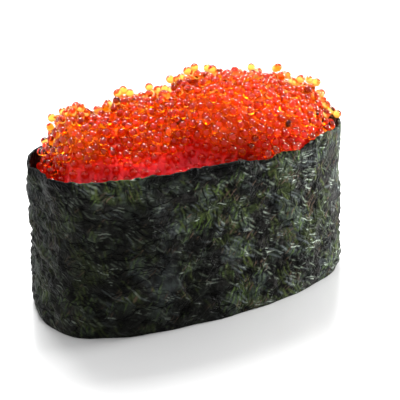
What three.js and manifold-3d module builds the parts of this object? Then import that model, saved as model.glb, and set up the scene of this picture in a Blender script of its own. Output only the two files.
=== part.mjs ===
// Gunkan sushi: a bed of pressed rice inside an upright band of nori, heaped with fish roe.
// Millimetres, +Z up. The origin is the middle of the base, X runs along the band's length,
// and -Y is the front.
import * as THREE from "three";
import Module from "manifold-3d";
import { mergeVertices } from "three/addons/utils/BufferGeometryUtils.js";

// ---- Driving dimensions -------------------------------------------------------------------

const BAND_LENGTH = 55;
const BAND_WIDTH = 28;
const BAND_HEIGHT = 27.4; // mean height of the strip's upper edge
const PLAN_POWER = 2.83; // 2 is an ellipse, more is squarer
const NORI_THICKNESS = 0.5;
const FIT_GAP = 0.3; // clearance between neighbouring pieces

const RIM_RISE_FRONT = 2; // the strip stands higher at the front and as much lower behind
const RIM_FALL_RIGHT = 0.55;
const RIM_NICKS = [
  { x: 7.4, halfWidth: 3.2, depth: 0.9 }, // worn places in the front edge
  { x: 15, halfWidth: 2.2, depth: 0.75 },
];
const FOOT_TUCK = { height: 1.8, depth: 0.3 }; // the foot of the band draws in

const LAP_LENGTH = 11; // how far the strip's ends overlap, behind
const LAP_END_X = -6; // where the outer end of the strip stops
const LAP_STEP = 0.15; // run of the step down at that end

const RICE_HEIGHT = 17.5;
const RICE_GRAIN = { length: 5.6, width: 2.4, height: 2.0 };
const RICE_GRAINS = 60; // grains in the underside
const RICE_SPACING = 3.1; // least distance between their middles
const RICE_SUNK = 0.45; // how far each of them is pressed flat
const RICE_CORE_BASE = 0.7; // height of the core behind those grains

const EGG_DIAMETER = 1.37;
const ROE_BELOW_RIM = 0.8; // where the roe meets the nori, under the strip's edge
const ROE_LOW_LEFT = 1.5; // and as much lower again in the left end
const EGG_SPACING = 1.36; // least distance between eggs in the surface
const EGG_APEX = 0.26; // an egg's top above the heap's mean surface
const EGG_VALLEY = 0.3; // the hollow between eggs below it
const EGG_TRIES = 90000; // random places tried for them
const PROUD_EGGS = 76; // whole eggs that stand on the heap

// The spoonfuls of roe: centre, half length, half width, height of the top above the base
// at the centre, and how much the top falls for each millimetre along X.
const MOUNDS = [
  { x: -18.8, y: 2.4, a: 6.2, b: 9.4, top: 36, fall: 0 },
  { x: -9.4, y: 1.8, a: 10.6, b: 11.2, top: 35.3, fall: -0.27 },
  { x: 10.6, y: 0.5, a: 16.6, b: 13.1, top: 36.4, fall: 0.22 },
];
const MOUND_POWER = 2.4; // of their outline and of their rounding towards it
const MOUND_SIDE = 0.52; // smaller is steeper at the foot
const HEAP_SHOULDER = 5.6; // how high the roe stands a millimetre in from the nori

const COLUMNS = 78; // stations round the band, besides the one at the lap's step
const OUTER_ROWS = [0, 0.045, 0.11, 0.27, 0.45, 0.64, 0.83, 1]; // shares of the band's height
const INNER_ROWS = [1, 0.83, 0.56, 0.3, 0.09, 0];
const RICE_SEED = 7;
const HEAP_SEED = 20;

// ---- Small helpers ------------------------------------------------------------------------

const wasm = await Module();
wasm.setup();

/** A repeatable stream of numbers from 0 to 1. */
function seeded(seed) {
  let state = seed >>> 0;
  return () => {
    state = (state + 0x6d2b79f5) >>> 0;
    let t = Math.imul(state ^ (state >>> 15), 1 | state);
    t = (t + Math.imul(t ^ (t >>> 7), 61 | t)) ^ t;
    return ((t ^ (t >>> 14)) >>> 0) / 4294967296;
  };
}

const signedPower = (value, power) => Math.sign(value) * Math.abs(value) ** power;
const bell = (value) => Math.exp(-value * value);
const smooth = THREE.MathUtils.smoothstep;

/** How far out a plan point is: 1 on the superellipse with those half axes. */
function planNorm(x, y, a, b, power) {
  return (Math.abs(x / a) ** power + Math.abs(y / b) ** power) ** (1 / power);
}

function toSolid(geometry) {
  const bare = new THREE.BufferGeometry().setAttribute("position", geometry.getAttribute("position"));
  bare.setIndex(geometry.index);
  const merged = mergeVertices(bare, 1e-4);
  return new wasm.Manifold(
    new wasm.Mesh({
      numProp: 3,
      vertProperties: new Float32Array(merged.attributes.position.array),
      triVerts: new Uint32Array(merged.index.array),
    }),
  );
}

function toGeometry(solid) {
  const mesh = solid.getMesh();
  const geometry = new THREE.BufferGeometry();
  geometry.setAttribute("position", new THREE.BufferAttribute(mesh.vertProperties, 3));
  geometry.setIndex(new THREE.BufferAttribute(mesh.triVerts, 1));
  geometry.computeVertexNormals();
  return geometry;
}

/** Triangles between two closed rings of points that start at those indices. */
function strip(count, low, high) {
  const triangles = [];
  for (let i = 0; i < count; i++) {
    const j = (i + 1) % count;
    triangles.push([low + i, low + j, high + j], [low + i, high + j, high + i]);
  }
  return triangles;
}

/** Triangles from a closed ring of points to one point that it turns round anticlockwise. */
function fan(count, start, tip) {
  return Array.from({ length: count }, (_, i) => [tip, start + i, start + ((i + 1) % count)]);
}

const turned = (triangles) => triangles.map(([a, b, c]) => [a, c, b]);

function meshFrom(points, triangles) {
  const geometry = new THREE.BufferGeometry().setFromPoints(points);
  geometry.setIndex(triangles.flat());
  return geometry;
}

// ---- The band's plan ----------------------------------------------------------------------

const HALF_LENGTH = BAND_LENGTH / 2;
const HALF_WIDTH = BAND_WIDTH / 2;
/** The outer outline as a fine polyline, anticlockwise from +X, with the length run so far. */
function outlineTable() {
  const steps = 2880;
  const table = [];
  let run = 0;
  for (let i = 0; i <= steps; i++) {
    const angle = (i / steps) * 2 * Math.PI;
    const x = HALF_LENGTH * signedPower(Math.cos(angle), 2 / PLAN_POWER);
    const y = HALF_WIDTH * signedPower(Math.sin(angle), 2 / PLAN_POWER);
    if (i) run += Math.hypot(x - table[i - 1].x, y - table[i - 1].y);
    table.push({ x, y, run });
  }
  return table;
}

const OUTLINE = outlineTable();
const GIRTH = OUTLINE.at(-1).run;

/** The point of the outline at a share of the girth, with its outward normal. */
function onOutline(share) {
  const run = THREE.MathUtils.euclideanModulo(share, 1) * GIRTH;
  let low = 0;
  let high = OUTLINE.length - 1;
  while (high - low > 1) {
    const middle = (low + high) >> 1;
    if (OUTLINE[middle].run <= run) low = middle;
    else high = middle;
  }
  const [p, q] = [OUTLINE[low], OUTLINE[high]];
  const t = (run - p.run) / (q.run - p.run || 1);
  const x = p.x + t * (q.x - p.x);
  const y = p.y + t * (q.y - p.y);
  const normal = new THREE.Vector2(
    signedPower(x / HALF_LENGTH, PLAN_POWER - 1) / HALF_LENGTH,
    signedPower(y / HALF_WIDTH, PLAN_POWER - 1) / HALF_WIDTH,
  ).normalize();
  return { x, y, normal };
}

/** The girth share at which the back (y > 0) of the outline passes a given x. */
function shareBehind(x) {
  const found = OUTLINE.find((p) => p.y > 0 && p.x <= x);
  return found.run / GIRTH;
}

/** Shallow dents and swellings where the nori lies on the grains behind it. */
function lump(share, z) {
  const round = share * 2 * Math.PI;
  return (
    0.16 * Math.cos(5 * round + 0.7) * Math.cos(z * 0.21 + 0.4) +
    0.13 * Math.cos(11 * round - 1.3) * Math.cos(z * 0.33 - 0.9) +
    0.1 * Math.cos(17 * round + 2.1 + z * 0.16)
  );
}

function rimHeight(share) {
  const { x, y } = onOutline(share);
  const round = share * 2 * Math.PI;
  const nicks = RIM_NICKS.map((nick) => (y < 0 ? nick.depth * bell((x - nick.x) / nick.halfWidth) : 0));
  const level = BAND_HEIGHT - (RIM_RISE_FRONT * y) / HALF_WIDTH - (RIM_FALL_RIGHT * x) / HALF_LENGTH;
  return level - nicks[0] - nicks[1] + 0.14 * Math.cos(9 * round + 0.5) + 0.1 * Math.cos(14 * round - 2);
}

/** A point of the band's wall, so far inside its outer face. */
function onWall(share, z, inside) {
  const { x, y, normal } = onOutline(share);
  const tuck = FOOT_TUCK.depth * (1 - smooth(z, 0, FOOT_TUCK.height));
  const out = lump(share, z) - tuck - inside;
  return new THREE.Vector3(x + normal.x * out, y + normal.y * out, z);
}

// ---- Nori band ----------------------------------------------------------------------------

const LAP_END = shareBehind(LAP_END_X);
const LAP_START = LAP_END - LAP_LENGTH / GIRTH;
const STATIONS = Array.from({ length: COLUMNS }, (_, i) => LAP_END + i / COLUMNS);
STATIONS.splice(1, 0, LAP_END + LAP_STEP / GIRTH);

/** The second thickness of nori where the strip's outer end lies over its inner end. */
function lapThickness(share) {
  const along = THREE.MathUtils.euclideanModulo(share - LAP_START, 1) * GIRTH;
  if (along > LAP_LENGTH + LAP_STEP / 2) return 0;
  return NORI_THICKNESS * smooth(along, 0, LAP_LENGTH * 0.35);
}

/** A closed band from rings of points, each with one point for each station. */
function closedBand(rings) {
  const count = STATIONS.length;
  const strips = rings.map((_, k) => strip(count, k * count, ((k + 1) % rings.length) * count));
  return meshFrom(rings.flat(), strips.flat());
}

function noriBand() {
  const ring = (row, inside) => STATIONS.map((s) => onWall(s, row * rimHeight(s), inside(s)));
  return closedBand([
    ...OUTER_ROWS.map((row) => ring(row, (s) => -lapThickness(s))),
    ...INNER_ROWS.map((row) => ring(row, () => NORI_THICKNESS)),
  ]);
}

// ---- Rice bed -----------------------------------------------------------------------------

const FILLING_INSET = NORI_THICKNESS + FIT_GAP;

/** A solid inside the band with flat ends, through points on the band's wall at those heights. */
function filling(levels) {
  const count = STATIONS.length;
  const points = levels.flatMap((z) => STATIONS.map((s) => onWall(s, z, FILLING_INSET)));
  const walls = levels.slice(1).flatMap((_, k) => strip(count, k * count, (k + 1) * count));
  const bottom = points.push(new THREE.Vector3(0, 0, levels[0])) - 1;
  const top = points.push(new THREE.Vector3(0, 0, levels.at(-1))) - 1;
  return meshFrom(points, [...walls, ...turned(fan(count, 0, bottom)), ...fan(count, bottom - count, top)]);
}

/** Places in the plan, the middle and then seeded ones, inside the filling and so far apart. */
function scatter(count, spacing, inset, random) {
  const found = [{ x: 0, y: 0 }];
  for (let tries = 0; found.length < count && tries < count * 400; tries++) {
    const x = (random() * 2 - 1) * HALF_LENGTH;
    const y = (random() * 2 - 1) * HALF_WIDTH;
    const inside = planNorm(x, y, HALF_LENGTH - inset, HALF_WIDTH - inset, PLAN_POWER) < 1;
    if (inside && found.every((p) => Math.hypot(p.x - x, p.y - y) > spacing)) found.push({ x, y });
  }
  return found;
}

function riceGrain(place, random) {
  const grain = new THREE.IcosahedronGeometry(1, 0);
  grain.scale(RICE_GRAIN.length / 2, RICE_GRAIN.width / 2, RICE_GRAIN.height / 2);
  grain.rotateZ(random() * Math.PI);
  grain.translate(place.x, place.y, RICE_GRAIN.height / 2 - RICE_SUNK * (0.8 + 0.4 * random()));
  return toSolid(grain);
}

function riceBed() {
  const random = seeded(RICE_SEED);
  const core = toSolid(filling([RICE_CORE_BASE, RICE_HEIGHT / 2, RICE_HEIGHT]));
  const keepOff = FILLING_INSET + FOOT_TUCK.depth + RICE_GRAIN.length / 2;
  const places = scatter(RICE_GRAINS, RICE_SPACING, keepOff, random);
  const grains = places.map((place) => riceGrain(place, random));
  const plate = toSolid(new THREE.BoxGeometry(BAND_LENGTH * 2, BAND_WIDTH * 2, 10).translate(0, 0, -5));
  return toGeometry(wasm.Manifold.union([core, ...grains]).subtract(plate));
}

// ---- Roe heap -----------------------------------------------------------------------------

const HEAP_A = HALF_LENGTH - FILLING_INSET;
const HEAP_B = HALF_WIDTH - FILLING_INSET;

/** Height at which the roe meets the nori. */
function roeEdge(share) {
  const { x } = onOutline(share);
  return rimHeight(share) - ROE_BELOW_RIM - ROE_LOW_LEFT * smooth(-x, HALF_LENGTH * 0.8, HALF_LENGTH);
}

/** Clumps in the heap's surface. */
function clump(x, y) {
  return 0.45 * Math.sin(0.83 * x + 1.1) * Math.cos(0.71 * y - 0.4) + 0.3 * Math.sin(1.7 * x - 0.6 * y + 2.4);
}

/** Mean height of the heap over a plan point. */
function heapHeight(x, y) {
  const foot = BAND_HEIGHT - ROE_BELOW_RIM - (RIM_RISE_FRONT * y) / HALF_WIDTH;
  const rises = MOUNDS.map((m) => {
    const out = planNorm(x - m.x, y - m.y, m.a, m.b, MOUND_POWER);
    if (out >= 1) return 0;
    return (m.top - m.fall * (x - m.x) - foot) * (1 - out ** MOUND_POWER) ** MOUND_SIDE;
  });
  const fromNori = HALF_WIDTH * Math.max(0, 1 - planNorm(x, y, HEAP_A, HEAP_B, PLAN_POWER));
  const rise = Math.min(Math.max(...rises), HEAP_SHOULDER * Math.sqrt(fromNori));
  return foot + rise + clump(x, y) * smooth(rise, 0, 5);
}

function heapNormal(x, y) {
  const step = 0.35;
  const slopeX = (heapHeight(x + step, y) - heapHeight(x - step, y)) / (2 * step);
  const slopeY = (heapHeight(x, y + step) - heapHeight(x, y - step)) / (2 * step);
  return new THREE.Vector3(-slopeX, -slopeY, 1).normalize();
}

const HEAP_TOP = Math.max(...MOUNDS.map((m) => m.top));
const LAID_OUT = 0.7; // share of a point's depth below the top that moves it outwards

/** The plan with the heap's sides laid out flat, so that distances there are near the true ones. */
function laidOut(x, y) {
  const out = planNorm(x, y, HEAP_A, HEAP_B, PLAN_POWER);
  const normal = new THREE.Vector2(
    signedPower(x / HEAP_A, PLAN_POWER - 1) / HEAP_A,
    signedPower(y / HEAP_B, PLAN_POWER - 1) / HEAP_B,
  );
  if (normal.lengthSq() > 0) normal.normalize();
  const shift = LAID_OUT * (HEAP_TOP - heapHeight(x, y)) * smooth(out, 0.15, 0.6);
  return new THREE.Vector2(x + normal.x * shift, y + normal.y * shift);
}

/** Eggs over the whole heap, each at least EGG_SPACING from the others along the surface. */
function eggPlaces(random) {
  const found = [];
  const cells = new Map();
  const cellOf = (p) => [p.x, p.y, p.z].map((v) => Math.floor(v / EGG_SPACING));
  const near = [-1, 0, 1];
  const around = near.flatMap((i) => near.flatMap((j) => near.map((k) => [i, j, k])));
  for (let tries = 0; tries < EGG_TRIES; tries++) {
    const x = (random() * 2 - 1) * HEAP_A;
    const y = (random() * 2 - 1) * HEAP_B;
    if (planNorm(x, y, HEAP_A, HEAP_B, PLAN_POWER) > 0.975) continue;
    const p = new THREE.Vector3(x, y, heapHeight(x, y));
    const cell = cellOf(p);
    const neighbours = around.flatMap((step) => cells.get(step.map((v, i) => v + cell[i]).join()) ?? []);
    if (neighbours.some((q) => q.distanceTo(p) < EGG_SPACING)) continue;
    cells.set(cell.join(), [...(cells.get(cell.join()) ?? []), p]);
    found.push(p);
  }
  return found;
}

/** Delaunay triangles of plane points, each as three indices, by adding one point at a time. */
function delaunay(points) {
  const far = 1000;
  const outer = [new THREE.Vector2(-far, -far), new THREE.Vector2(far, -far), new THREE.Vector2(0, far)];
  const all = [...points, ...outer];
  const circle = (tri) => {
    const [a, b, c] = tri.map((i) => all[i]);
    const d = 2 * (a.x * (b.y - c.y) + b.x * (c.y - a.y) + c.x * (a.y - b.y));
    const x = (a.lengthSq() * (b.y - c.y) + b.lengthSq() * (c.y - a.y) + c.lengthSq() * (a.y - b.y)) / d;
    const y = (a.lengthSq() * (c.x - b.x) + b.lengthSq() * (a.x - c.x) + c.lengthSq() * (b.x - a.x)) / d;
    return { tri, x, y, reach: (a.x - x) ** 2 + (a.y - y) ** 2 };
  };
  const n = points.length;
  let found = [circle([n, n + 1, n + 2])];
  points.forEach((p, index) => {
    const holds = (t) => (p.x - t.x) ** 2 + (p.y - t.y) ** 2 < t.reach;
    const edges = new Map();
    for (const { tri } of found.filter(holds))
      tri.forEach((a, i) => {
        const b = tri[(i + 1) % 3];
        if (!edges.delete(`${b},${a}`)) edges.set(`${a},${b}`, [a, b]);
      });
    found = found.filter((t) => !holds(t));
    for (const [a, b] of edges.values()) found.push(circle([a, b, index]));
  });
  return found.map((t) => t.tri).filter((tri) => tri.every((i) => i < n));
}

/** Keeps a point inside the band's inner face, so that no egg is centred in the nori. */
function keptInside(p) {
  const over = planNorm(p.x, p.y, HEAP_A - 0.1, HEAP_B - 0.1, PLAN_POWER);
  return over <= 1 ? p : new THREE.Vector3(p.x / over, p.y / over, p.z);
}

/** The room that the band takes, with its clearance, up to just over its edge. */
function bandRoom() {
  const ring = (height, inside) => STATIONS.map((s) => onWall(s, height(s), inside));
  const bottom = () => RICE_HEIGHT;
  const top = (s) => rimHeight(s) + FIT_GAP;
  const inner = FILLING_INSET - 0.02; // just off the heap's own wall
  const outer = -2 * EGG_DIAMETER;
  return toSolid(closedBand([ring(bottom, outer), ring(top, outer), ring(top, inner), ring(bottom, inner)]));
}

/** The heap with an egg-sized bump at every place: each bump is a fan down to the hollows round it. */
function pebbledHeap(eggs) {
  const rim = STATIONS.map((s) => onWall(s, roeEdge(s), FILLING_INSET));
  const foot = STATIONS.map((s) => onWall(s, RICE_HEIGHT + FIT_GAP, FILLING_INSET));
  const spread = LAID_OUT * (HEAP_TOP - BAND_HEIGHT) + 2.5;
  const rimLaidOut = STATIONS.map((s) => {
    const { x, y, normal } = onOutline(s);
    return new THREE.Vector2(x + normal.x * spread, y + normal.y * spread);
  });
  const tips = eggs.map((p) => keptInside(p.clone().addScaledVector(heapNormal(p.x, p.y), EGG_APEX)));
  const points = [...rim, ...tips];
  const triangles = [];
  const sides = new Map(); // for each directed edge, the hollow on its left
  for (const tri of delaunay([...rimLaidOut, ...eggs.map((p) => laidOut(p.x, p.y))])) {
    const [a, b, c] = tri.map((i) => points[i]);
    const middle = a.clone().add(b).add(c).divideScalar(3);
    const drop = tri.every((i) => i >= rim.length) ? EGG_APEX + EGG_VALLEY : EGG_VALLEY;
    middle.addScaledVector(heapNormal(middle.x, middle.y), -drop);
    const hollow = points.push(keptInside(middle)) - 1;
    tri.forEach((from, i) => {
      const to = tri[(i + 1) % 3];
      sides.set(`${from},${to}`, { from, to, hollow });
    });
  }
  for (const [name, { from, to, hollow }] of sides) {
    const other = sides.get(`${to},${from}`);
    if (!other) triangles.push([from, to, hollow]);
    else if (name < `${to},${from}`) triangles.push([from, other.hollow, hollow], [to, hollow, other.hollow]);
  }
  const footStart = points.length;
  points.push(...foot);
  const middle = points.push(new THREE.Vector3(0, 0, RICE_HEIGHT + FIT_GAP)) - 1;
  triangles.push(...strip(foot.length, footStart, 0), ...turned(fan(foot.length, footStart, middle)));
  return meshFrom(points, triangles);
}

/** Whole eggs standing on the heap, most of them along its ridge. */
function proudEggs(eggs, random) {
  const found = [];
  for (let tries = 0; found.length < PROUD_EGGS && tries < 20000; tries++) {
    const p = eggs[Math.floor(random() * eggs.length)];
    const high = smooth(p.z, BAND_HEIGHT + 3, HEAP_TOP);
    if (random() > 0.08 + 0.92 * high || found.some((q) => q.distanceTo(p) < 2 * EGG_SPACING)) continue;
    found.push(p);
  }
  return found.map((p) => {
    const egg = new THREE.IcosahedronGeometry(EGG_DIAMETER / 2, 0);
    egg.rotateX(random() * Math.PI).rotateZ(random() * Math.PI);
    const at = p.clone().addScaledVector(heapNormal(p.x, p.y), EGG_DIAMETER * (0.4 + 0.2 * random()));
    egg.translate(at.x, at.y, at.z);
    return toSolid(egg);
  });
}

function roeHeap() {
  const random = seeded(HEAP_SEED);
  const eggs = eggPlaces(random);
  const heap = wasm.Manifold.union([toSolid(pebbledHeap(eggs)), ...proudEggs(eggs, random)]);
  const pieces = heap.subtract(bandRoom()).decompose();
  return toGeometry(pieces.sort((one, other) => other.volume() - one.volume())[0]); // without scraps
}

// ---- The piece ----------------------------------------------------------------------------

function named(name, geometry, material) {
  const mesh = new THREE.Mesh(geometry, material);
  mesh.name = name;
  return mesh;
}

const nori = new THREE.MeshStandardMaterial({ color: 0x1d221a, roughness: 0.55, metalness: 0 });
const rice = new THREE.MeshStandardMaterial({ color: 0xf0ece0, roughness: 0.45, metalness: 0 });
const roe = new THREE.MeshStandardMaterial({ color: 0xec4a1c, roughness: 0.15, metalness: 0 });

const gunkan = new THREE.Group();
gunkan.add(named("nori_band", noriBand(), nori));
gunkan.add(named("rice_bed", riceBed(), rice));
gunkan.add(named("roe_heap", roeHeap(), roe));

// The origin is the middle of the base as it stands, with the lap and the lumps counted in.
const middle = new THREE.Box3().setFromObject(gunkan).getCenter(new THREE.Vector3());
for (const mesh of gunkan.children) mesh.position.set(-middle.x, -middle.y, 0);

export default gunkan;
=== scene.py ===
"""Looks of a piece of gunkan sushi: a crinkled strip of nori wound round pressed rice and heaped
with wet roe, on a pale floor in soft studio light.

Shapes are worked out in millimetres from the middle of the band's plan, and a finished piece is
brought into the frame, in metres."""

from itertools import product
from math import cos, pi, radians, sin, tan

import bmesh
import bpy
import numpy as np
from mathutils import Matrix, Vector, noise
from mathutils.bvhtree import BVHTree


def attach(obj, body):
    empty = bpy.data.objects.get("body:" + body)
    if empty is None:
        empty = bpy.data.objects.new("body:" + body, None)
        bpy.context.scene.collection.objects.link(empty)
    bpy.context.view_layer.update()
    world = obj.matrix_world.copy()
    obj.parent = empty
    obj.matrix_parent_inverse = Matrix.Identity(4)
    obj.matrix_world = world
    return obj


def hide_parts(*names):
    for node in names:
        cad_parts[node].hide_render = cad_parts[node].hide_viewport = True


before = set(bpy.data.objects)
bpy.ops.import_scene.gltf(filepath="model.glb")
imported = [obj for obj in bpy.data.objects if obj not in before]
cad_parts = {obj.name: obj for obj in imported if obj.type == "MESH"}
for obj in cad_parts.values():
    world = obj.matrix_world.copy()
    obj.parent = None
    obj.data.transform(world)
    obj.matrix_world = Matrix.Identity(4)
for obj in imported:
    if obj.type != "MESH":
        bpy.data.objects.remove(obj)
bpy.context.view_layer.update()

MM = 0.001
TURN = 2 * pi
PLAN_MIDDLE = Vector((-0.002, -0.28, 0))  # of the band, in the frame
TO_FRAME = Matrix.Scale(MM, 4) @ Matrix.Translation(PLAN_MIDDLE)

# ---- Sizes, in millimetres ----------------------------------------------------------------

# The band that the strip of nori follows
HALF_LENGTH = 27.5
HALF_WIDTH = 14
PLAN_POWER = 2.83  # 2 is an ellipse, more is squarer
PLAN_STEPS = 2880  # of the table of its outline
BAND_HEIGHT = 27.4  # in the middle
RIM_RISE_FRONT = 2
RIM_FALL_RIGHT = 0.55
RIM_CREST_ZONE = (4, 10)  # how far forward of the middle the crests begin, and are whole
RIM_CRESTS = ((-20, 5, 0.65), (-5.6, 2, 0.7), (21, 3, 0.4))  # x, half width, height
RIM_NICKS = ((7.4, 3.2, 0.9), (15, 2.2, 0.75))  # x, half width, depth
FOOT_HEIGHT = 0.09
FOOT_TUCK_HEIGHT = 1.8
FOOT_TUCK = 0.3
FOOT_SWELLS = ((72, 7, 0.95), (103, 14, 0.5))  # run, half width, how far the foot stands out
FOOT_SWELL_HEIGHT = 10
PRESSED = ((-7, 10, 0.5), (61, 4, -0.45))  # run, half width, how far the upper part is pressed in
PRESSED_HEIGHTS = (12, 22)  # from which and up to which that grows
PRESSED_SMOOTH = 0.7  # share of the creases that is lost there
CREASED_HEIGHTS = (-0.5, 2.5)  # over which the creases grow from the foot up
SHEET_THICKNESS = 0.4
SHEET_STEP = 0.36  # of its mesh
RAGGED_EDGE = 0.2
LAP_LENGTH = 11
LAP_END_X = -6
LAP_LIFT_RUN = 3  # over which the outer end climbs onto the inner one
LAP_GAP = 0.06

# The heap of roe
ROE_BELOW_RIM = 0.8
ROE_BOTTOM = 17.8
HEAP_INSET = 0.8
HEAP_SHOULDER = 5.6  # how steeply it rises inside the band
MOUNDS = (  # middle x and y, half length, half width, top, fall of the top along x
    (-18.8, 2.4, 6.2, 9.4, 36, 0),
    (-9.4, 1.8, 10.6, 11.2, 35.3, -0.27),
    (10.6, 0.5, 16.6, 13.1, 36.4, 0.22),
)
MOUND_POWER = 2.4
MOUND_SIDE = 0.52  # 0.5 is a round side, more is a gentler one
RIDGE_REACH = 3.5  # how far round a point its height is compared
EGG_RADIUS = 0.76
EGG_SPREAD = 0.05  # how much radii differ
EGG_PACKING = 0.96  # least distance between two eggs, as a share of their radii together
EGG_DEPTH = 2.9  # of the layer of whole eggs
EGGS_WITHIN = 0.96  # share of the band's plan that holds their middles
EGG_LIFTS = ((0.8, 0.6, 7), (0.6, 0.3, 8))  # height, scale and seed of the uneven surface
EGG_LOWEST_LIFT = -0.6
EGG_ORDER_SPREAD = 0.2  # how far from strictly outermost first they are laid
EGG_SAMPLES = 400000
EGG_CROWDING = 0.22  # share of the points of the plan that may hold an egg
EGG_SQUASH = 0.93  # least width of an egg, as a share of its greatest
EGG_TONES = (0.15, 0.85)  # darkest and lightest
TONE_SPREAD = 0.08
SPILL_LIGHTER = 0.2  # how much lighter the eggs on the band's edge are
NORI_CLEARANCE = -0.12  # of an egg to the strip's outside, where it may settle a little
CORE_DEPTH = 2.0  # of the roe behind the whole eggs
SHELF_DEPTH = 0.4  # and along the low front, where eggs are pressed in
CORE_CLEARANCE = 0.45  # of the pressed roe to the strip's inside
CORE_EDGE_DROP = 1  # of its edge below the foot of the heap
CORE_EDGE_SAG = 1.6  # the most by which a gap in the eggs lowers its edge
# painted shade along the roe's edge, where it meets the nori
CORE_EDGE_SHADE = 0.2
CORE_LEDGE = (0.955, 0.965)  # share of the plan over which its top falls to its edge
CORE_EDGE_ZONE = (0.88, 0.95)  # and over which that painted shade grows
CLUMPS = (  # where eggs are piled on the crest or are missing from it: x, y, half width, rise
    (-25.8, 3.2, 2.8, -2.6),
    (-24.4, 6.8, 1.9, -3),
    (-21.6, 7.3, 1.4, 2),
    (-17, 4.7, 1.1, -1.7),
    (-13.2, 8.9, 1.1, 0.9),
    (-10.7, 6.9, 1.4, 1.3),
    (-7.8, 8.7, 1.3, 1),
    (-5.6, 7.7, 0.8, -1.2),
    (-4.5, 6.2, 1.2, 0.8),
    (0.4, 8.3, 1.1, 1.2),
    (2.3, 7.6, 1.6, 1.4),
    (4.3, 6.2, 1.4, 1.1),
    (8.1, 8.5, 1.3, 1),
    (9.8, 7.3, 0.8, -0.6),
    (16, 8.4, 1.4, 1),
    (20, 4.6, 2.2, 1),
    (20.6, 4, 1.2, 0.8),
    (23.2, 0.8, 2.6, 1.7),
    (24.5, 0.2, 1.5, 1.1),
    (25.4, -1, 1.4, 1.2),
    (24.8, -5.8, 1.8, -3.2),
)
SPILLS = ((-26.9, -22, 8), (-4.6, 3, 8))  # run from and to, how many eggs lie on the edge there
SPILL_SHIFT = 0.3
SPILL_INSETS = (0.1, 1)

# How light the roe is, as painted light and shade, deeper low down and in hollows: 0 is deep red, 1
# a clear amber
TONE_FOOT = 0.24
TONE_UP = 0.38  # added from the foot to the middle of the heap
TONE_TOP = 0.12  # and from there to its top
TONE_UP_HEIGHTS = (0.5, 6)
TONE_TOP_HEIGHTS = (5, 9)
TONE_RIDGE = 0.09  # for each millimetre above what is round it: painted light on ridges, painted shade in hollows
TONE_CLUMP = 0.09  # for each millimetre that piled eggs lift it
TONE_RIGHT_FOOT = 0.24
TONE_RIGHT_END = 0.16
TONE_LEFT_END = 0.2
TONE_SHELF_CORE = -0.04
TONE_SHELF_EGGS = 0.25
EGG_PAINTED_GLOW = 0.15  # painted light: how much lighter an egg is below, where light gathers in it
EGG_PAINTED_CAP_SHADE = 0.8  # painted shade: how much darker on its top

# Rice
RICE_TOP = 17.5
RICE_CORE_BOTTOM = 1.6
RICE_CORE_INSET = 2.4
RICE_CORE_SIDES = 96
RICE_EDGE_INSET = 1.3
GRAIN_HALF_SIZES = (2.8, 1.2, 1.05)
GRAIN_BEND = 0.1  # per millimetre of its length
GRAIN_BEND_MIDDLE = 0.25
GRAIN_SCALES = (0.88, 1.08)
GRAIN_TILT = 0.12
GRAIN_LAYERS = ((0.8, 2.3), (2.2, 2.6))  # height of their middles, least distance between them
GRAIN_TRIES = 9000
GRAIN_LOWEST = 0.03

# Camera
IMAGE_PIXELS = 400
SENSOR_WIDTH = 36
FOCAL_PIXELS = 2198
PIXELS_PER_MM = 5.82  # at the point it looks at
CAMERA_AZIMUTH = radians(-26.68)
CAMERA_ELEVATION = radians(29.35)
LOOK_AT_HEIGHT = 14
LOOK_RIGHT = 2.19
LOOK_UP = 1.43

# Studio
BRIGHT_SIDE = (0, 0.76, 0.65)  # direction of the brightest part of the surroundings
BRIGHTNESS = {"From Min": -0.6, "From Max": 0.5, "To Min": 0.36, "To Max": 1.12}
FLOOR_HALF_SIZE = 1500
SOFTBOX_AIM_HEIGHT = 20


# ---- Helpers ------------------------------------------------------------------------------


def smooth(value, low, high):
    """0 up to low, 1 from high, and a smooth step between."""
    t = np.clip((value - low) / (high - low), 0, 1)
    return t * t * (3 - 2 * t)


def bell(value):
    """1 at 0, falling smoothly to nothing at about 2 either way."""
    return np.exp(-value * value)


def noise_at(points, scale, seed):
    """Smooth noise from -1 to 1 at each point, with features of about 1 / scale."""
    shift = Vector((seed * 7.3, seed * 3.1, seed * 5.7))
    scale = Vector(scale) if isinstance(scale, tuple) else Vector((scale,) * 3)
    return np.array([noise.noise(Vector(p) * scale + shift) for p in points])


def reshaped(mesh, change):
    """The mesh with its points moved by a function of an array of them."""
    points = np.empty(3 * len(mesh.vertices))
    mesh.vertices.foreach_get("co", points)
    mesh.vertices.foreach_set("co", change(points.reshape(-1, 3)).ravel())
    return mesh


def finished(name, mesh, slot, *nodes):
    """A smooth-shaded piece in the frame, which stands for those nodes."""
    mesh.transform(TO_FRAME)
    mesh.shade_smooth()
    piece = bpy.data.objects.new(name, mesh)
    bpy.context.scene.collection.objects.link(piece)
    mesh.materials.append(MATERIALS[slot](name))
    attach(piece, "root")
    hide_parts(*nodes)
    return piece


def mesh_from(name, bm):
    mesh = bpy.data.meshes.new(name)
    bm.to_mesh(mesh)
    bm.free()
    return mesh


def set_values(mesh, name, values):
    """A value for each point of the mesh, which its material reads."""
    mesh.attributes.new(name, "FLOAT", "POINT").data.foreach_set("value", values.astype(np.float32))


def set_points(bm, points):
    for vertex, point in zip(bm.verts, points):
        vertex.co = point


def joined_copies(name, bm, places, turns, scales):
    """One mesh with a copy of the bmesh at each place, turned and scaled."""
    shape = np.array([v.co for v in bm.verts])
    faces = [[v.index for v in face.verts] for face in bm.faces]
    bm.free()
    points = np.einsum("nij,nvj->nvi", turns, shape[None] * scales[:, None]) + places[:, None]
    starts = range(0, len(places) * len(shape), len(shape))
    all_faces = [[start + i for i in face] for start in starts for face in faces]
    mesh = bpy.data.meshes.new(name)
    mesh.from_pydata(points.reshape(-1, 3), [], all_faces)
    return mesh


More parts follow.
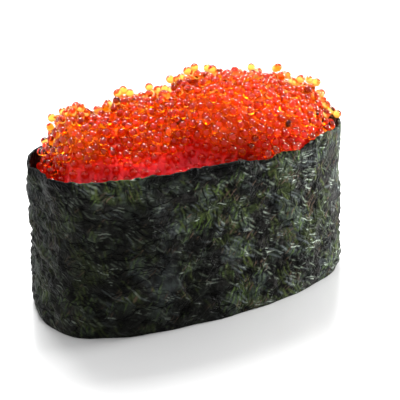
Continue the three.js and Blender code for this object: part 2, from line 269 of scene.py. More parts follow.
def small_ball():
    """A cube blown up to a ball, with a few dozen faces, for what is repeated many times."""
    bm = bmesh.new()
    bmesh.ops.create_cube(bm, size=2)
    bmesh.ops.subdivide_edges(bm, edges=bm.edges, cuts=2, use_grid_fill=True)
    for vertex in bm.verts:
        vertex.co = Vector(tan(pi / 4 * along) for along in vertex.co).normalized()
    return bm


def random_turns(random, count):
    """Rotation matrices, evenly spread over all turns."""
    quaternions = random.normal(size=(count, 4))
    w, x, y, z = (quaternions / np.linalg.norm(quaternions, axis=1)[:, None]).T
    rows = [
        [1 - 2 * (y * y + z * z), 2 * (x * y - w * z), 2 * (x * z + w * y)],
        [2 * (x * y + w * z), 1 - 2 * (x * x + z * z), 2 * (y * z - w * x)],
        [2 * (x * z - w * y), 2 * (y * z + w * x), 1 - 2 * (x * x + y * y)],
    ]
    return np.moveaxis(np.array(rows), 2, 0)


# ---- Materials ----------------------------------------------------------------------------


class Recipe:
    """A node material, put together a node at a time."""

    def __init__(self, name):
        self.material = bpy.data.materials.new(name)
        self.material.use_nodes = True
        self.tree = self.material.node_tree
        self.tree.nodes.clear()

    def feed(self, socket, value):
        if isinstance(value, bpy.types.NodeSocket):
            self.tree.links.new(value, socket)
        else:
            socket.default_value = value

    def add(self, kind, settings=None, **inputs):
        """A node with those settings, and sockets fed by name, with _ for a space."""
        node = self.tree.nodes.new("ShaderNode" + kind)
        for key, value in (settings or {}).items():
            setattr(node, key, value)
        for key, value in inputs.items():
            self.feed(node.inputs[key.replace("_", " ")], value)
        return node

    def maths(self, operation, *values):
        node = self.add("Math", {"operation": operation})
        for socket, value in zip(node.inputs, values):
            self.feed(socket, value)
        return node.outputs[0]

    def vector(self, operation, *values):
        node = self.add("VectorMath", {"operation": operation})
        for socket, value in zip(node.inputs, values):
            self.feed(socket, value)
        return node.outputs[0]

    def noise(self, place, scale, detail=3, roughness=0.6):
        inputs = {"Scale": scale, "Detail": detail, "Roughness": roughness}
        return self.add("TexNoise", Vector=place, **inputs).outputs[0]

    def ranged(self, value, low, high, to_low=0, to_high=1):
        """The value's range from low to high, stretched smoothly to another."""
        settings = {"interpolation_type": "SMOOTHSTEP"}
        inputs = {"From_Min": low, "From_Max": high, "To_Min": to_low, "To_Max": to_high}
        return self.add("MapRange", settings, Value=value, **inputs).outputs[0]

    def ramp(self, factor, *stops):
        """A colour ramp through (position, colour) stops."""
        node = self.add("ValToRGB", Fac=factor)
        elements = node.color_ramp.elements
        while len(elements) < len(stops):
            elements.new(0.5)
        for element, (position, colour) in zip(elements, stops):
            element.position = position
            element.color = (*colour, 1)
        return node.outputs["Color"]

    def mixed(self, factor, first, second):
        """The first colour, with as much of the second as the factor says."""
        node = self.add("Mix", {"data_type": "RGBA"})
        for index, value in zip((0, 6, 7), (factor, first, second)):
            self.feed(node.inputs[index], (*value, 1) if isinstance(value, tuple) else value)
        return node.outputs[2]

    def surface(self, inside=None, **inputs):
        """The finished material, with those inputs of its shader, and what fills it."""
        shader = self.add("BsdfPrincipled", **inputs)
        output = self.add("OutputMaterial", Surface=shader.outputs[0])
        if inside:
            self.feed(output.inputs["Volume"], inside.outputs[0])
        return self.material


STRAND_SHIFT = (0.0037, 0.0019)  # of one layer of strands from the one before, in metres
STRAND_SKEW = 1.6  # how far strands turn from their slant


def strands(r, sheet, slant, length, width, seed):
    """Single strands, 0 to 1, laid roughly along one slant of the sheet."""
    laid = {
        "Location": (seed * STRAND_SHIFT[0], seed * STRAND_SHIFT[1], 0),
        "Rotation": (0, 0, radians(slant)),
        "Scale": (length, 2 * width, 1),
    }
    place = r.add("Mapping", {"vector_type": "TEXTURE"}, Vector=sheet, **laid).outputs[0]
    cells = r.add("TexVoronoi", {"voronoi_dimensions": "2D"}, Vector=place, Scale=1)
    chance = r.add("SeparateColor", Color=cells.outputs["Color"]).outputs
    from_middle = r.vector("SUBTRACT", place, cells.outputs["Position"])
    along, across = r.add("SeparateXYZ", Vector=from_middle).outputs[:2]
    skew = r.maths("MULTIPLY", along, r.maths("SUBTRACT", chance[0], 0.5))
    from_line = r.maths("ABSOLUTE", r.maths("MULTIPLY_ADD", skew, STRAND_SKEW, across))
    line = r.ranged(from_line, 0, 0.4, 1, 0)
    ends = r.ranged(r.maths("ABSOLUTE", along), 0.2, 0.55, 1, 0)
    clear = r.ranged(chance[1], 0, 0.95)
    return r.maths("MULTIPLY", r.maths("MULTIPLY", line, ends), clear)


NORI_PATCHES = (  # scale and threshold of the patches, their tint; the bluish grey one is a painted sheen
    (150, 0.5, (0.03, 0.028, 0.026)),
    (190, 0.52, (0.036, 0.05, 0.018)),
    (130, 0.53, (0.055, 0.066, 0.07)),
    (260, 0.52, (0.055, 0.072, 0.055)),
)
NORI_STRANDS = (  # slant, length and width of the strands, their tint, the patches that have them
    (25, 4.2, 0.55, (0.001, 0.001, 0.001), (0.4, 0.5)),
    (112, 3.6, 0.42, (0.08, 0.105, 0.03), (0.44, 0.56)),
    (-38, 4.2, 0.42, (0.12, 0.14, 0.14), (0.46, 0.58)),
    (68, 3.4, 0.38, (0.1, 0.16, 0.04), (0.5, 0.62)),
    (5, 4.4, 0.5, (0.0006, 0.0006, 0.0006), (0.38, 0.5)),
    (140, 3.6, 0.34, (0.2, 0.24, 0.18), (0.52, 0.62)),
    (50, 3.6, 0.36, (0.12, 0.08, 0.055), (0.52, 0.62)),
    (90, 3.2, 0.36, (0.0004, 0.0004, 0.0004), (0.38, 0.52)),
    # the palest strands are painted glints
    (-15, 3.8, 0.26, (0.5, 0.58, 0.48), (0.56, 0.65)),
)
NORI_FOLDS = (((70, 70, 190), 0.016), ((150, 150, 330), 0.02))  # scale and width of the creases, which are painted dark as shade
NORI_CREASE_SHADE = (0.0004, 0.0004, 0.0004)
NORI_RIM_SHADE = (0.0006, 0.0006, 0.0006)
STRAND_WAVE = 2.4  # how far the strands bend, in millimetres
STRAND_RELIEF = 0.35  # of a strand, as a share of the sheet's own
RIM_SHADE_WIDTH = 1.6  # of the painted shade under the upper edge, in millimetres
RIM_SHADE_RAGGED = -1.4
PAINTED_LIGHT_ZONE = (0.066, 0.09)  # from which place to the right and up light is painted on the sheet, in metres
PAINTED_LIGHT_LEAST = 0.2


def nori_material(name):
    """Pressed seaweed: mottled, creased, with strands every way; light is painted on it to the
    right and up, where it is palest, with painted shade in its creases and under its upper edge,
    and the palest strands painted glints.
    """
    r = Recipe(name)
    sheet = r.add("UVMap", {"uv_map": "girth"}).outputs[0]
    wave = r.add("TexNoise", {"noise_dimensions": "2D"}, Vector=sheet, Scale=150, Detail=2)
    sheet = r.vector("MULTIPLY_ADD", wave.outputs["Color"], (STRAND_WAVE * MM,) * 3, sheet)
    place = r.add("TexCoord").outputs["Object"]
    clouds = r.noise(place, 420, 4, 0.7)
    ragged = r.maths("MULTIPLY", r.noise(place, 90, 3, 0.5), 0.14)
    x, _, z = r.add("SeparateXYZ", Vector=place).outputs
    # painted light: the sheet is lighter to the right and up, where the light falls on it
    right_and_up = r.maths("ADD", r.maths("MULTIPLY_ADD", z, 0.6, x), ragged)
    lit_right = r.ranged(right_and_up, *PAINTED_LIGHT_ZONE, PAINTED_LIGHT_LEAST, 1)
    colour = r.ramp(clouds, (0.38, (0.001, 0.001, 0.0008)), (0.6, (0.0065, 0.007, 0.0055)))
    for scale, threshold, tint in NORI_PATCHES:
        patch = r.ranged(r.noise(place, scale, 4, 0.65), threshold, threshold + 0.12)
        patch = r.maths("MULTIPLY", patch, lit_right)
        colour = r.mixed(patch, colour, tint)
    relief = clouds
    for seed, (slant, length, width, tint, patch) in enumerate(NORI_STRANDS):
        strand = strands(r, sheet, slant, length * MM, width * MM, seed + 1)
        where = r.maths("MULTIPLY", r.ranged(r.noise(place, 150 + 35 * seed, 2), *patch), lit_right)
        colour = r.mixed(r.maths("MULTIPLY", strand, where), colour, tint)
        relief = r.maths("ADD", relief, r.maths("MULTIPLY", strand, STRAND_RELIEF))
    # painted shade in the creases, strongest where least light is painted
    for stretch, width in NORI_FOLDS:
        stretched = r.add("Mapping", Vector=place, Scale=stretch).outputs[0]
        fold = r.maths("ABSOLUTE", r.maths("SUBTRACT", r.noise(stretched, 1, 3, 0.5), 0.5))
        less_lit = r.maths("MULTIPLY_ADD", lit_right, -0.7, 1)
        crease = r.maths("MULTIPLY", r.ranged(fold, 0, width, 1, 0), less_lit)
        colour = r.mixed(crease, colour, NORI_CREASE_SHADE)
        relief = r.maths("SUBTRACT", relief, crease)
    # painted shade just under the upper edge, which fades where light is painted on
    below_edge = r.add("Attribute", {"attribute_name": "below_edge"}).outputs["Fac"]
    below_edge = r.maths("MULTIPLY_ADD", clouds, RIM_SHADE_RAGGED * MM, below_edge)
    rim_shade = r.ranged(below_edge, 0, RIM_SHADE_WIDTH * MM, 1, 0)
    rim_shade = r.maths("MULTIPLY", rim_shade, r.ranged(lit_right, 0.3, 0.9, 0.95, 0))
    colour = r.mixed(rim_shade, colour, NORI_RIM_SHADE)
    bump = r.add("Bump", Height=relief, Distance=0.2 * MM, Strength=1.0)
    return r.surface(
        Base_Color=colour,
        Roughness=r.ranged(clouds, 0.35, 0.7, 0.6, 0.36),
        Normal=bump.outputs[0],
        Specular_IOR_Level=0.06,
    )


EGG_TINTS = (
    (0.0, (0.3, 0.03, 0.02)),
    (0.2, (0.95, 0.3, 0.25)),
    (0.45, (1, 0.66, 0.5)),
    (0.75, (1, 0.86, 0.62)),
    (1.0, (1, 0.94, 0.75)),
)
EGG_INSIDE = (0.986, 0.727, 0.035)
EGG_INSIDE_DENSITY = 2000
CORE_COLOURS = (
    (0.0, (0.73, 0.016, 0.025)),
    (0.2, (0.94, 0.025, 0.028)),
    (0.4, (0.95, 0.03, 0.022)),
    (1.0, (0.9, 0.14, 0.01)),
)


def egg_material(name):
    """A wet, clear egg, its amber deepest through the middle, with a tone from red to clear that
    holds painted light and shade.
    """
    r = Recipe(name)
    tone = r.add("Attribute", {"attribute_name": "tone"}).outputs["Fac"]
    return r.surface(
        inside=r.add("VolumeAbsorption", Color=(*EGG_INSIDE, 1), Density=EGG_INSIDE_DENSITY),
        Base_Color=r.ramp(tone, *EGG_TINTS),
        Roughness=0.02,
        IOR=1.4,
        Transmission_Weight=1.0,
    )


def core_material(name):
    """Eggs pressed together, wet and glowing red to orange, by a tone that holds painted light and
    shade.
    """
    r = Recipe(name)
    tone = r.add("Attribute", {"attribute_name": "tone"}).outputs["Fac"]
    place = r.add("TexCoord").outputs["Object"]
    spacing = 1.9 * EGG_RADIUS * MM  # a little less than an egg's width
    eggs = r.add("TexVoronoi", Vector=place, Scale=1 / spacing).outputs["Distance"]
    height = r.maths("MULTIPLY", r.maths("MULTIPLY", eggs, eggs), -1)
    return r.surface(
        Base_Color=r.ramp(tone, *CORE_COLOURS),
        Roughness=0.25,
        Specular_IOR_Level=0.2,
        Normal=r.add("Bump", Height=height, Distance=0.45 * MM, Strength=1.0).outputs[0],
        Subsurface_Weight=0.45,
        Subsurface_Radius=(1.0, 0.3, 0.1),
        Subsurface_Scale=1.0 * MM,
    )


def roe_material(name):
    return core_material(name) if name == "roe_core" else egg_material(name)


def rice_material(name):
    r = Recipe(name)
    place = r.add("TexCoord").outputs["Object"]
    colour = r.ramp(r.noise(place, 500), (0.3, (0.74, 0.7, 0.6)), (0.7, (0.86, 0.84, 0.77)))
    return r.surface(
        Base_Color=colour,
        Roughness=0.32,
        Subsurface_Weight=0.5,
        Subsurface_Radius=(1.0, 0.9, 0.7),
        Subsurface_Scale=0.8 * MM,
    )


def floor_material():
    r = Recipe("floor")
    place = r.add("TexCoord").outputs["Object"]
    colour = r.ramp(r.noise(place, 3), (0.3, (0.77, 0.77, 0.775)), (0.7, (0.79, 0.79, 0.79)))
    return r.surface(Base_Color=colour, Roughness=0.16, IOR=2.3)


MATERIALS = {"nori": nori_material, "roe": roe_material, "rice": rice_material}


# ---- The band's plan ----------------------------------------------------------------------


def outline_table():
    """The band's outline, anticlockwise from +X, and the length run to each point."""
    angle = np.linspace(0, TURN, PLAN_STEPS + 1)
    c, s = np.cos(angle), np.sin(angle)
    x = HALF_LENGTH * np.sign(c) * np.abs(c) ** (2 / PLAN_POWER)
    y = HALF_WIDTH * np.sign(s) * np.abs(s) ** (2 / PLAN_POWER)
    run = np.concatenate([[0], np.cumsum(np.hypot(np.diff(x), np.diff(y)))])
    return x, y, run


OUTLINE_X, OUTLINE_Y, OUTLINE_RUN = outline_table()
GIRTH = OUTLINE_RUN[-1]


def on_outline(run):
    """Points of the outline at those runs, with their outward normals."""
    run = np.mod(run, GIRTH)
    x = np.interp(run, OUTLINE_RUN, OUTLINE_X)
    y = np.interp(run, OUTLINE_RUN, OUTLINE_Y)
    nx = np.sign(x) * np.abs(x / HALF_LENGTH) ** (PLAN_POWER - 1) / HALF_LENGTH
    ny = np.sign(y) * np.abs(y / HALF_WIDTH) ** (PLAN_POWER - 1) / HALF_WIDTH
    size = np.hypot(nx, ny)
    return x, y, nx / size, ny / size


def nearest_run(run, at):
    """How far round the outline it is from one place to another, the shorter way."""
    return np.mod(run - at + GIRTH / 2, GIRTH) - GIRTH / 2


def lump(run, z):
    """Shallow dents and swellings, the same as the solid band's."""
    turn = run / GIRTH * TURN
    return (
        0.16 * np.cos(5 * turn + 0.7) * np.cos(z * 0.21 + 0.4)
        + 0.13 * np.cos(11 * turn - 1.3) * np.cos(z * 0.33 - 0.9)
        + 0.1 * np.cos(17 * turn + 2.1 + z * 0.16)
    )


def rim_height(run):
    """Height of the band's uneven upper edge."""
    x, y, _, _ = on_outline(run)
    turn = run / GIRTH * TURN
    level = BAND_HEIGHT - RIM_RISE_FRONT * y / HALF_WIDTH - RIM_FALL_RIGHT * x / HALF_LENGTH
    for at, half_width, depth in RIM_NICKS:
        level = level - np.where(y < 0, depth * bell((x - at) / half_width), 0)
    for at, half_width, height in RIM_CRESTS:
        level = level + height * bell((x - at) / half_width) * smooth(-y, *RIM_CREST_ZONE)
    return level + 0.14 * np.cos(9 * turn + 0.5) + 0.1 * np.cos(14 * turn - 2)


# ---- Nori ---------------------------------------------------------------------------------


def folds_at(points, scale, seed, sharpness):
    """1 along the lines of sharp folds, falling to 0 beside them."""
    return np.clip(1 - np.abs(noise_at(points, scale, seed)) * sharpness, 0, 1) ** 2


def crinkle(run, z):
    """Puckers and creases of the sheet, which its two overlapping ends share."""
    turn = run / GIRTH * TURN
    radius = GIRTH / TURN
    points = np.stack([np.cos(turn) * radius, np.sin(turn) * radius, z], axis=1)
    broad = noise_at(points, 0.16, 1) * 0.4
    pucker = noise_at(points, 0.42, 2) * 0.34
    crease = folds_at(points, (0.13, 0.13, 0.34), 3, 5) * -0.34
    fold = folds_at(points, (0.5, 0.5, 0.3), 4, 4) * 0.26
    grain = noise_at(points, 1.1, 5) * 0.2
    return broad + pucker + crease + fold + grain


def nori_strip():
    """One strip wound once round, its outer end lying over its inner end behind."""
    behind = np.where((OUTLINE_Y > 0) & (OUTLINE_X <= LAP_END_X))[0][0]
    start = OUTLINE_RUN[behind] - LAP_LENGTH
    length = GIRTH + LAP_LENGTH
    steps_round, steps_up = int(length / SHEET_STEP), int(BAND_HEIGHT / SHEET_STEP)
    bm = bmesh.new()
    bmesh.ops.create_grid(bm, x_segments=steps_round, y_segments=steps_up, size=0.5)
    flat = np.array([v.co for v in bm.verts]) + 0.5
    along = flat[:, 0] * length
    run = start + along
    nothing = np.zeros_like(along)
    ragged = noise_at(np.stack([along, nothing, nothing], axis=1), 1.1, 6) * RAGGED_EDGE
    z = FOOT_HEIGHT + flat[:, 1] * (rim_height(run) + ragged - FOOT_HEIGHT)
    x, y, nx, ny = on_outline(run)
    tuck = FOOT_TUCK * (1 - smooth(z, 0, FOOT_TUCK_HEIGHT))
    over = (SHEET_THICKNESS + LAP_GAP) * smooth(along, GIRTH - LAP_LIFT_RUN, GIRTH)
    creased = crinkle(run, z) * smooth(z, *CREASED_HEIGHTS)
    out = lump(run, z) - tuck + over
    for at, half_width, depth in PRESSED:
        held = bell(nearest_run(run, at) / half_width) * smooth(z, *PRESSED_HEIGHTS)
        creased *= 1 - PRESSED_SMOOTH * held
        out -= depth * held
    out += creased
    low = 1 - smooth(z, 0, FOOT_SWELL_HEIGHT)
    for at, half_width, swell in FOOT_SWELLS:
        out += swell * bell(nearest_run(run, at) / half_width) * low
    set_points(bm, np.stack([x + nx * out, y + ny * out, z], axis=1))
    girth = bm.loops.layers.uv.new("girth")
    for face in bm.faces:
        for loop in face.loops:
            loop[girth].uv = (along[loop.vert.index] * MM, z[loop.vert.index] * MM)
    mesh = mesh_from("nori_strip", bm)
    set_values(mesh, "below_edge", (rim_height(run) - z) * MM)
    return mesh


# ---- Roe ----------------------------------------------------------------------------------


def plan_norm(x, y, a, b, power):
    """How far out a point of the plan is: 1 on the superellipse with those half axes."""
    return (np.abs(x / a) ** power + np.abs(y / b) ** power) ** (1 / power)


def band_norm(x, y, inset=0):
    """How far out a point of the plan is: 1 on the band's outline, brought in by the inset."""
    return plan_norm(x, y, HALF_LENGTH - inset, HALF_WIDTH - inset, PLAN_POWER)


def foot_height(y):
    """Where the roe starts to rise from the nori."""
    return BAND_HEIGHT - ROE_BELOW_RIM - RIM_RISE_FRONT * y / HALF_WIDTH


def heap_height(x, y):
    """Mean height of the heap, the same as the solid's."""
    foot = foot_height(y)
    rise = 0
    for at_x, at_y, a, b, top, fall in MOUNDS:
        out = np.minimum(plan_norm(x - at_x, y - at_y, a, b, MOUND_POWER), 1)
        swell = (1 - out**MOUND_POWER) ** MOUND_SIDE
        rise = np.maximum(rise, (top - fall * (x - at_x) - foot) * swell)
    inside = HALF_WIDTH * (1 - band_norm(x, y, HEAP_INSET))
    rise = np.minimum(rise, HEAP_SHOULDER * np.sqrt(np.maximum(inside, 0)))
    broad = 0.45 * np.sin(0.83 * x + 1.1) * np.cos(0.71 * y - 0.4)
    small = 0.3 * np.sin(1.7 * x - 0.6 * y + 2.4)
    return foot + rise + (broad + small) * smooth(rise, 0, 5)


def clump_rise(x, y):
    """How far the piled eggs lift the heap there, or the gaps lower it."""
    return sum(
        rise * bell(((x - at_x) ** 2 + (y - at_y) ** 2) / half_width**2)
        for at_x, at_y, half_width, rise in CLUMPS
    )


def heap_top(x, y):
    return heap_height(x, y) + clump_rise(x, y)


def heap_normal(x, y):
    """The heap's normal over points of the plan."""
    step = 0.3
    slope_x = (heap_top(x + step, y) - heap_top(x - step, y)) / (2 * step)
    slope_y = (heap_top(x, y + step) - heap_top(x, y - step)) / (2 * step)
    normal = np.stack([-slope_x, -slope_y, np.ones_like(slope_x)], axis=1)
    return normal / np.linalg.norm(normal, axis=1)[:, None]


def shelf(x, y):
    """1 where eggs are pressed flat along the low front, 0 over the rest of the heap."""
    rise = heap_height(x, y) - foot_height(y)
    return (1 - smooth(rise, 1, 4.5)) * (1 - smooth(x, -4, 4)) * (1 - smooth(y, -4, 0))


def heap_light_and_tone(x, y, z):
    """How light the roe is: deep red low down and in hollows, as painted shade, and amber where it
    is thin on a ridge, as painted light coming through it.
    """
    rise = z - foot_height(y)
    up = smooth(rise, *TONE_UP_HEIGHTS)
    around = sum(
        heap_height(x + RIDGE_REACH * cos(turn), y + RIDGE_REACH * sin(turn))
        for turn in np.arange(6) / 6 * TURN
    )
    ridge = heap_height(x, y) - around / 6
    tone = TONE_FOOT + TONE_UP * up + TONE_TOP * smooth(rise, *TONE_TOP_HEIGHTS)
    tone = tone + TONE_RIDGE * ridge + TONE_RIGHT_FOOT * smooth(x, -7, 5) * (1 - up)
    tone = tone + TONE_RIGHT_END * smooth(x, 14, 24)
    tone = tone + TONE_LEFT_END * smooth(-x, 17, 24) * smooth(rise, 3, 7)
    piled = np.maximum(clump_rise(x, y), 0)
    return tone + TONE_CLUMP * piled + TONE_SHELF_CORE * shelf(x, y)


def roe_core():
    """What the whole eggs lie in: wet roe pressed together."""
    bm = bmesh.new()
    bmesh.ops.create_uvsphere(bm, u_segments=180, v_segments=90, radius=1)
    ball_x, ball_y, ball_z = np.array([v.co for v in bm.verts]).T
    angle = np.mod(np.arctan2(ball_y, ball_x), TURN)
    run = np.interp(angle, np.linspace(0, TURN, len(OUTLINE_RUN)), OUTLINE_RUN)
    below = np.maximum(-ball_z, 0)
    reach = np.where(ball_z > 0, np.hypot(ball_x, ball_y), (1 - below**6) ** (1 / 6))
    x, y, nx, ny = on_outline(run)
    inset = lump(run, BAND_HEIGHT) - SHEET_THICKNESS - CORE_CLEARANCE
    x, y = (x + nx * inset) * reach, (y + ny * inset) * reach
    top = heap_top(x, y)
    depth = CORE_DEPTH + (SHELF_DEPTH - CORE_DEPTH) * shelf(x, y)
    points = np.stack([x, y, top], axis=1) - heap_normal(x, y) * depth[:, None]
    ledge = smooth(reach, *CORE_LEDGE)[:, None]
    edge_z = foot_height(y) - CORE_EDGE_DROP + np.clip(clump_rise(x, y), -CORE_EDGE_SAG, 0)
    points += (np.stack([x, y, edge_z], axis=1) - points) * ledge
    points[:, 2] -= (points[:, 2] - ROE_BOTTOM) * below
    set_points(bm, points)
    mesh = mesh_from("roe_core", bm)
    # painted shade towards the edge, where the roe meets the nori
    edge_shade = CORE_EDGE_SHADE * smooth(reach, *CORE_EDGE_ZONE)
    set_values(mesh, "tone", heap_light_and_tone(x, y, top) - edge_shade)
    return mesh


def egg_places(random):
    """Points spread evenly over the heap's surface, with its normals there."""
    x = random.uniform(-HALF_LENGTH, HALF_LENGTH, EGG_SAMPLES)
    y = random.uniform(-HALF_WIDTH, HALF_WIDTH, EGG_SAMPLES)
    normals = heap_normal(x, y)
    inside = band_norm(x, y, HEAP_INSET) < 1
    kept = inside & (random.random(EGG_SAMPLES) < EGG_CROWDING / normals[:, 2])
    x, y = x[kept], y[kept]
    return np.stack([x, y, heap_top(x, y)], axis=1), normals[kept]


def spill_places(random):
    """Middles of the eggs that lie on the band's edge."""
    run = np.concatenate([np.linspace(*spill) for spill in SPILLS])
    run = run + random.uniform(-SPILL_SHIFT, SPILL_SHIFT, len(run))
    x, y, nx, ny = on_outline(run)
    inset = random.uniform(*SPILL_INSETS, len(run))
    return np.stack([x - nx * inset, y - ny * inset, rim_height(run) + EGG_RADIUS], axis=1)


def lay_eggs(random, strip_tree):
    """Middles and radii of eggs, the outermost first, none in another or in the nori."""
    surface, normals = egg_places(random)
    radii = EGG_RADIUS + EGG_SPREAD * random.uniform(-1, 1, len(surface))
    height = -EGG_DEPTH * random.random(len(surface))
    height[::2] = 0  # every other one touches the heap's surface
    lift = sum(size * noise_at(surface, scale, seed) for size, scale, seed in EGG_LIFTS)
    height += np.maximum(lift, EGG_LOWEST_LIFT) * (1 - shelf(*surface.T[:2]))
    middles = surface + normals * (height - radii)[:, None]
    inside = band_norm(*middles.T[:2]) < EGGS_WITHIN
    order = np.argsort(-height + EGG_ORDER_SPREAD * random.random(len(height)))
    order = order[inside[order]]
    spill = spill_places(random)
    order = np.append(np.arange(len(spill)) + len(middles), order)
    middles = np.concatenate([middles, spill])
    radii = np.append(radii, np.full(len(spill), EGG_RADIUS))
    cells, found = {}, []
    size = 2 * (EGG_RADIUS + EGG_SPREAD)
    for i in order:
        middle, radius = middles[i], radii[i]
        cell = tuple(np.floor(middle / size).astype(int))
        near = [
            j
            for dx, dy, dz in product((-1, 0, 1), repeat=3)
            for j in cells.get((cell[0] + dx, cell[1] + dy, cell[2] + dz), ())
        ]
        apart = ((middles[near] - middle) ** 2).sum(axis=1)
        if (apart < (EGG_PACKING * (radii[near] + radius)) ** 2).any():
            continue
        hit, _, _, gap = strip_tree.find_nearest(Vector(middle))
        beside = middle[2] < hit.z + 0.2
        if gap < radius + (SHEET_THICKNESS if beside else NORI_CLEARANCE):
            continue
        cells.setdefault(cell, []).append(i)
        found.append(i)
    return middles[found], radii[found]


def roe_eggs(strip_tree):
    random = np.random.default_rng(5)
    middles, radii = lay_eggs(random, strip_tree)
    bm = small_ball()
    per_egg = len(bm.verts)
    scales = radii[:, None] * random.uniform(EGG_SQUASH, 1, (len(radii), 3))
    mesh = joined_copies("roe_eggs", bm, middles, random_turns(random, len(radii)), scales)
    tone = heap_light_and_tone(*middles.T) + TONE_SHELF_EGGS * shelf(*middles.T[:2])
    tone = np.clip(tone + random.normal(0, TONE_SPREAD, len(radii)), *EGG_TONES)
    # painted light and shade on each egg: lighter below, darker on its top
    upward = np.array([v.co.z for v in mesh.vertices]) - np.repeat(middles[:, 2], per_egg)
    upward /= EGG_RADIUS
    light = EGG_PAINTED_GLOW * smooth(-upward, -0.15, 0.5) - EGG_PAINTED_CAP_SHADE * smooth(upward, 0.65, 1)
    tone[: sum(spill[2] for spill in SPILLS)] += SPILL_LIGHTER
    light *= np.repeat(smooth(tone, 0.1, 0.7), per_egg)
    set_values(mesh, "tone", np.repeat(tone, per_egg) + light)
    return mesh


# ---- Rice ---------------------------------------------------------------------------------


def rice_core():
    """The pressed rice, above the grains of its underside."""
    bm = bmesh.new()
    bmesh.ops.create_circle(bm, cap_ends=True, segments=RICE_CORE_SIDES, radius=1)
    x, y, nx, ny = on_outline(np.linspace(0, GIRTH, RICE_CORE_SIDES, endpoint=False))
    low = np.full(RICE_CORE_SIDES, RICE_CORE_BOTTOM)
    set_points(bm, np.stack([x - nx * RICE_CORE_INSET, y - ny * RICE_CORE_INSET, low], axis=1))
    lifted = bmesh.ops.extrude_face_region(bm, geom=bm.faces[:])["geom"]
    lifted = [part for part in lifted if isinstance(part, bmesh.types.BMVert)]
    bmesh.ops.translate(bm, verts=lifted, vec=(0, 0, RICE_TOP - RICE_CORE_BOTTOM))
    level = [edge for edge in bm.edges if abs(edge.verts[0].co.z - edge.verts[1].co.z) < 0.1]
    bmesh.ops.bevel(bm, geom=level, affect="EDGES", offset=1, segments=3, profile=0.5, material=-1)
    bmesh.ops.recalc_face_normals(bm, faces=bm.faces)
    return mesh_from("rice_core", bm)


def grain_places(random):
    """Middles of the grains, a layer at a time."""
    corner = np.array([HALF_LENGTH, HALF_WIDTH])
    found = []
    for height, spacing in GRAIN_LAYERS:
        layer = np.empty((0, 2))
        for x, y in random.uniform(-corner, corner, (GRAIN_TRIES, 2)):
            apart = np.hypot(*(layer - (x, y)).T)
            if band_norm(x, y, RICE_CORE_INSET) < 1 and (apart > spacing).all():
                layer = np.append(layer, [(x, y)], axis=0)
        found.append(np.column_stack([layer, np.full(len(layer), height)]))
    return np.concatenate(found)


def pressed(points):
    """The grains' points, flat on the floor and inside the nori."""
    x, y, z = points.T
    held = 1 / np.maximum(band_norm(x, y, RICE_EDGE_INSET), 1)
    return np.stack([x * held, y * held, np.maximum(z, GRAIN_LOWEST)], axis=1)


def rice_grains():
    """The grains of the underside, pressed flat against the board."""
    random = np.random.default_rng(8)
    places = grain_places(random)
    bm = small_ball()
    bmesh.ops.rotate(bm, verts=bm.verts, matrix=Matrix.Rotation(radians(90), 3, "Y"))
    bmesh.ops.scale(bm, verts=bm.verts, vec=GRAIN_HALF_SIZES)
    for vertex in bm.verts:
        vertex.co.y += GRAIN_BEND * vertex.co.x**2 - GRAIN_BEND_MIDDLE
    headings = random.uniform(0, TURN, len(places))
    tilts = random.normal(0, GRAIN_TILT, len(places))
    turns = [
        Matrix.Rotation(heading, 3, "Z") @ Matrix.Rotation(tilt, 3, "Y")
        for heading, tilt in zip(headings, tilts)
    ]
    scales = random.uniform(*GRAIN_SCALES, (len(places), 3))
    mesh = joined_copies("rice_grains", bm, places, np.array(turns), scales)
    return reshaped(mesh, pressed)


# ---- Stage --------------------------------------------------------------------------------


def direction_from(azimuth, elevation):
    """Towards what stands round the object at that angle from its front, and that high."""
    level = cos(elevation)
    return Vector((sin(azimuth) * level, -cos(azimuth) * level, sin(elevation)))


def add_camera():
    back = direction_from(CAMERA_AZIMUTH, CAMERA_ELEVATION)
    right = Vector((cos(CAMERA_AZIMUTH), sin(CAMERA_AZIMUTH), 0))
    up = back.cross(right)
    aim = Vector((0, 0, LOOK_AT_HEIGHT)) + right * LOOK_RIGHT + up * LOOK_UP
    data = bpy.data.cameras.new("camera")
    data.sensor_width = SENSOR_WIDTH
    data.lens = FOCAL_PIXELS / IMAGE_PIXELS * SENSOR_WIDTH
    data.clip_start = 0.01
    camera = bpy.data.objects.new("camera", data)
    bpy.context.scene.collection.objects.link(camera)
    place = (aim + back * FOCAL_PIXELS / PIXELS_PER_MM) * MM
    turned = Matrix((right, up, back)).transposed().to_4x4()
    camera.matrix_world = Matrix.Translation(place) @ turned
    bpy.context.scene.camera = camera


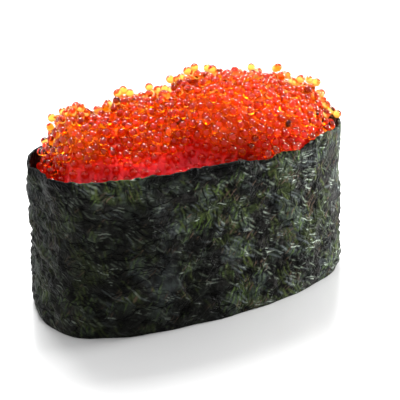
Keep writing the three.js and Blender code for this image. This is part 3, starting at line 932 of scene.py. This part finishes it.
def add_softbox(name, azimuth, elevation, distance, size, power):
    """A square area light that faces the object, with its distance and size in millimetres."""
    back = direction_from(radians(azimuth), radians(elevation))
    data = bpy.data.lights.new(name, "AREA")
    data.size = size * MM
    data.energy = power
    light = bpy.data.objects.new(name, data)
    light.location = (back * distance + Vector((0, 0, SOFTBOX_AIM_HEIGHT))) * MM
    light.rotation_mode = "QUATERNION"
    light.rotation_quaternion = back.to_track_quat("Z", "Y")
    bpy.context.scene.collection.objects.link(light)


def add_floor():
    bm = bmesh.new()
    bmesh.ops.create_grid(bm, x_segments=1, y_segments=1, size=FLOOR_HALF_SIZE)
    mesh = mesh_from("floor", bm)
    mesh.transform(Matrix.Scale(MM, 4))
    mesh.materials.append(floor_material())
    floor = bpy.data.objects.new("floor", mesh)
    bpy.context.scene.collection.objects.link(floor)


def add_world():
    """Surroundings of white light, brightest behind and above."""
    world = bpy.data.worlds.new("studio")
    world.use_nodes = True
    tree = world.node_tree
    direction = tree.nodes.new("ShaderNodeTexCoord").outputs["Generated"]
    facing = tree.nodes.new("ShaderNodeVectorMath")
    facing.operation = "DOT_PRODUCT"
    facing.inputs[1].default_value = BRIGHT_SIDE
    tree.links.new(direction, facing.inputs[0])
    strength = tree.nodes.new("ShaderNodeMapRange")
    for name, value in BRIGHTNESS.items():
        strength.inputs[name].default_value = value
    tree.links.new(facing.outputs["Value"], strength.inputs["Value"])
    background = tree.nodes["Background"]
    background.inputs["Color"].default_value = (1, 1, 1, 1)
    tree.links.new(strength.outputs[0], background.inputs["Strength"])
    bpy.context.scene.world = world


# ---- The piece ----------------------------------------------------------------------------

add_camera()
add_world()
add_floor()
add_softbox("back", 168, 60, 300, 130, 1.7)
add_softbox("side", 78, 14, 170, 50, 0.38)
bpy.context.scene.view_settings.view_transform = "Standard"

strip_mesh = nori_strip()
strip_tree = BVHTree.FromPolygons(
    [vertex.co for vertex in strip_mesh.vertices],
    [face.vertices[:] for face in strip_mesh.polygons],
)
core_mesh = roe_core()
egg_mesh = roe_eggs(strip_tree)

strip = finished("nori_strip", strip_mesh, "nori", "nori_band")
solidify = strip.modifiers.new("thickness", "SOLIDIFY")
solidify.thickness = SHEET_THICKNESS * MM
solidify.offset = -1
finished("roe_core", core_mesh, "roe", "roe_heap")
finished("roe_eggs", egg_mesh, "roe", "roe_heap")

finished("rice_core", rice_core(), "rice", "rice_bed")
finished("rice_grains", rice_grains(), "rice", "rice_bed")
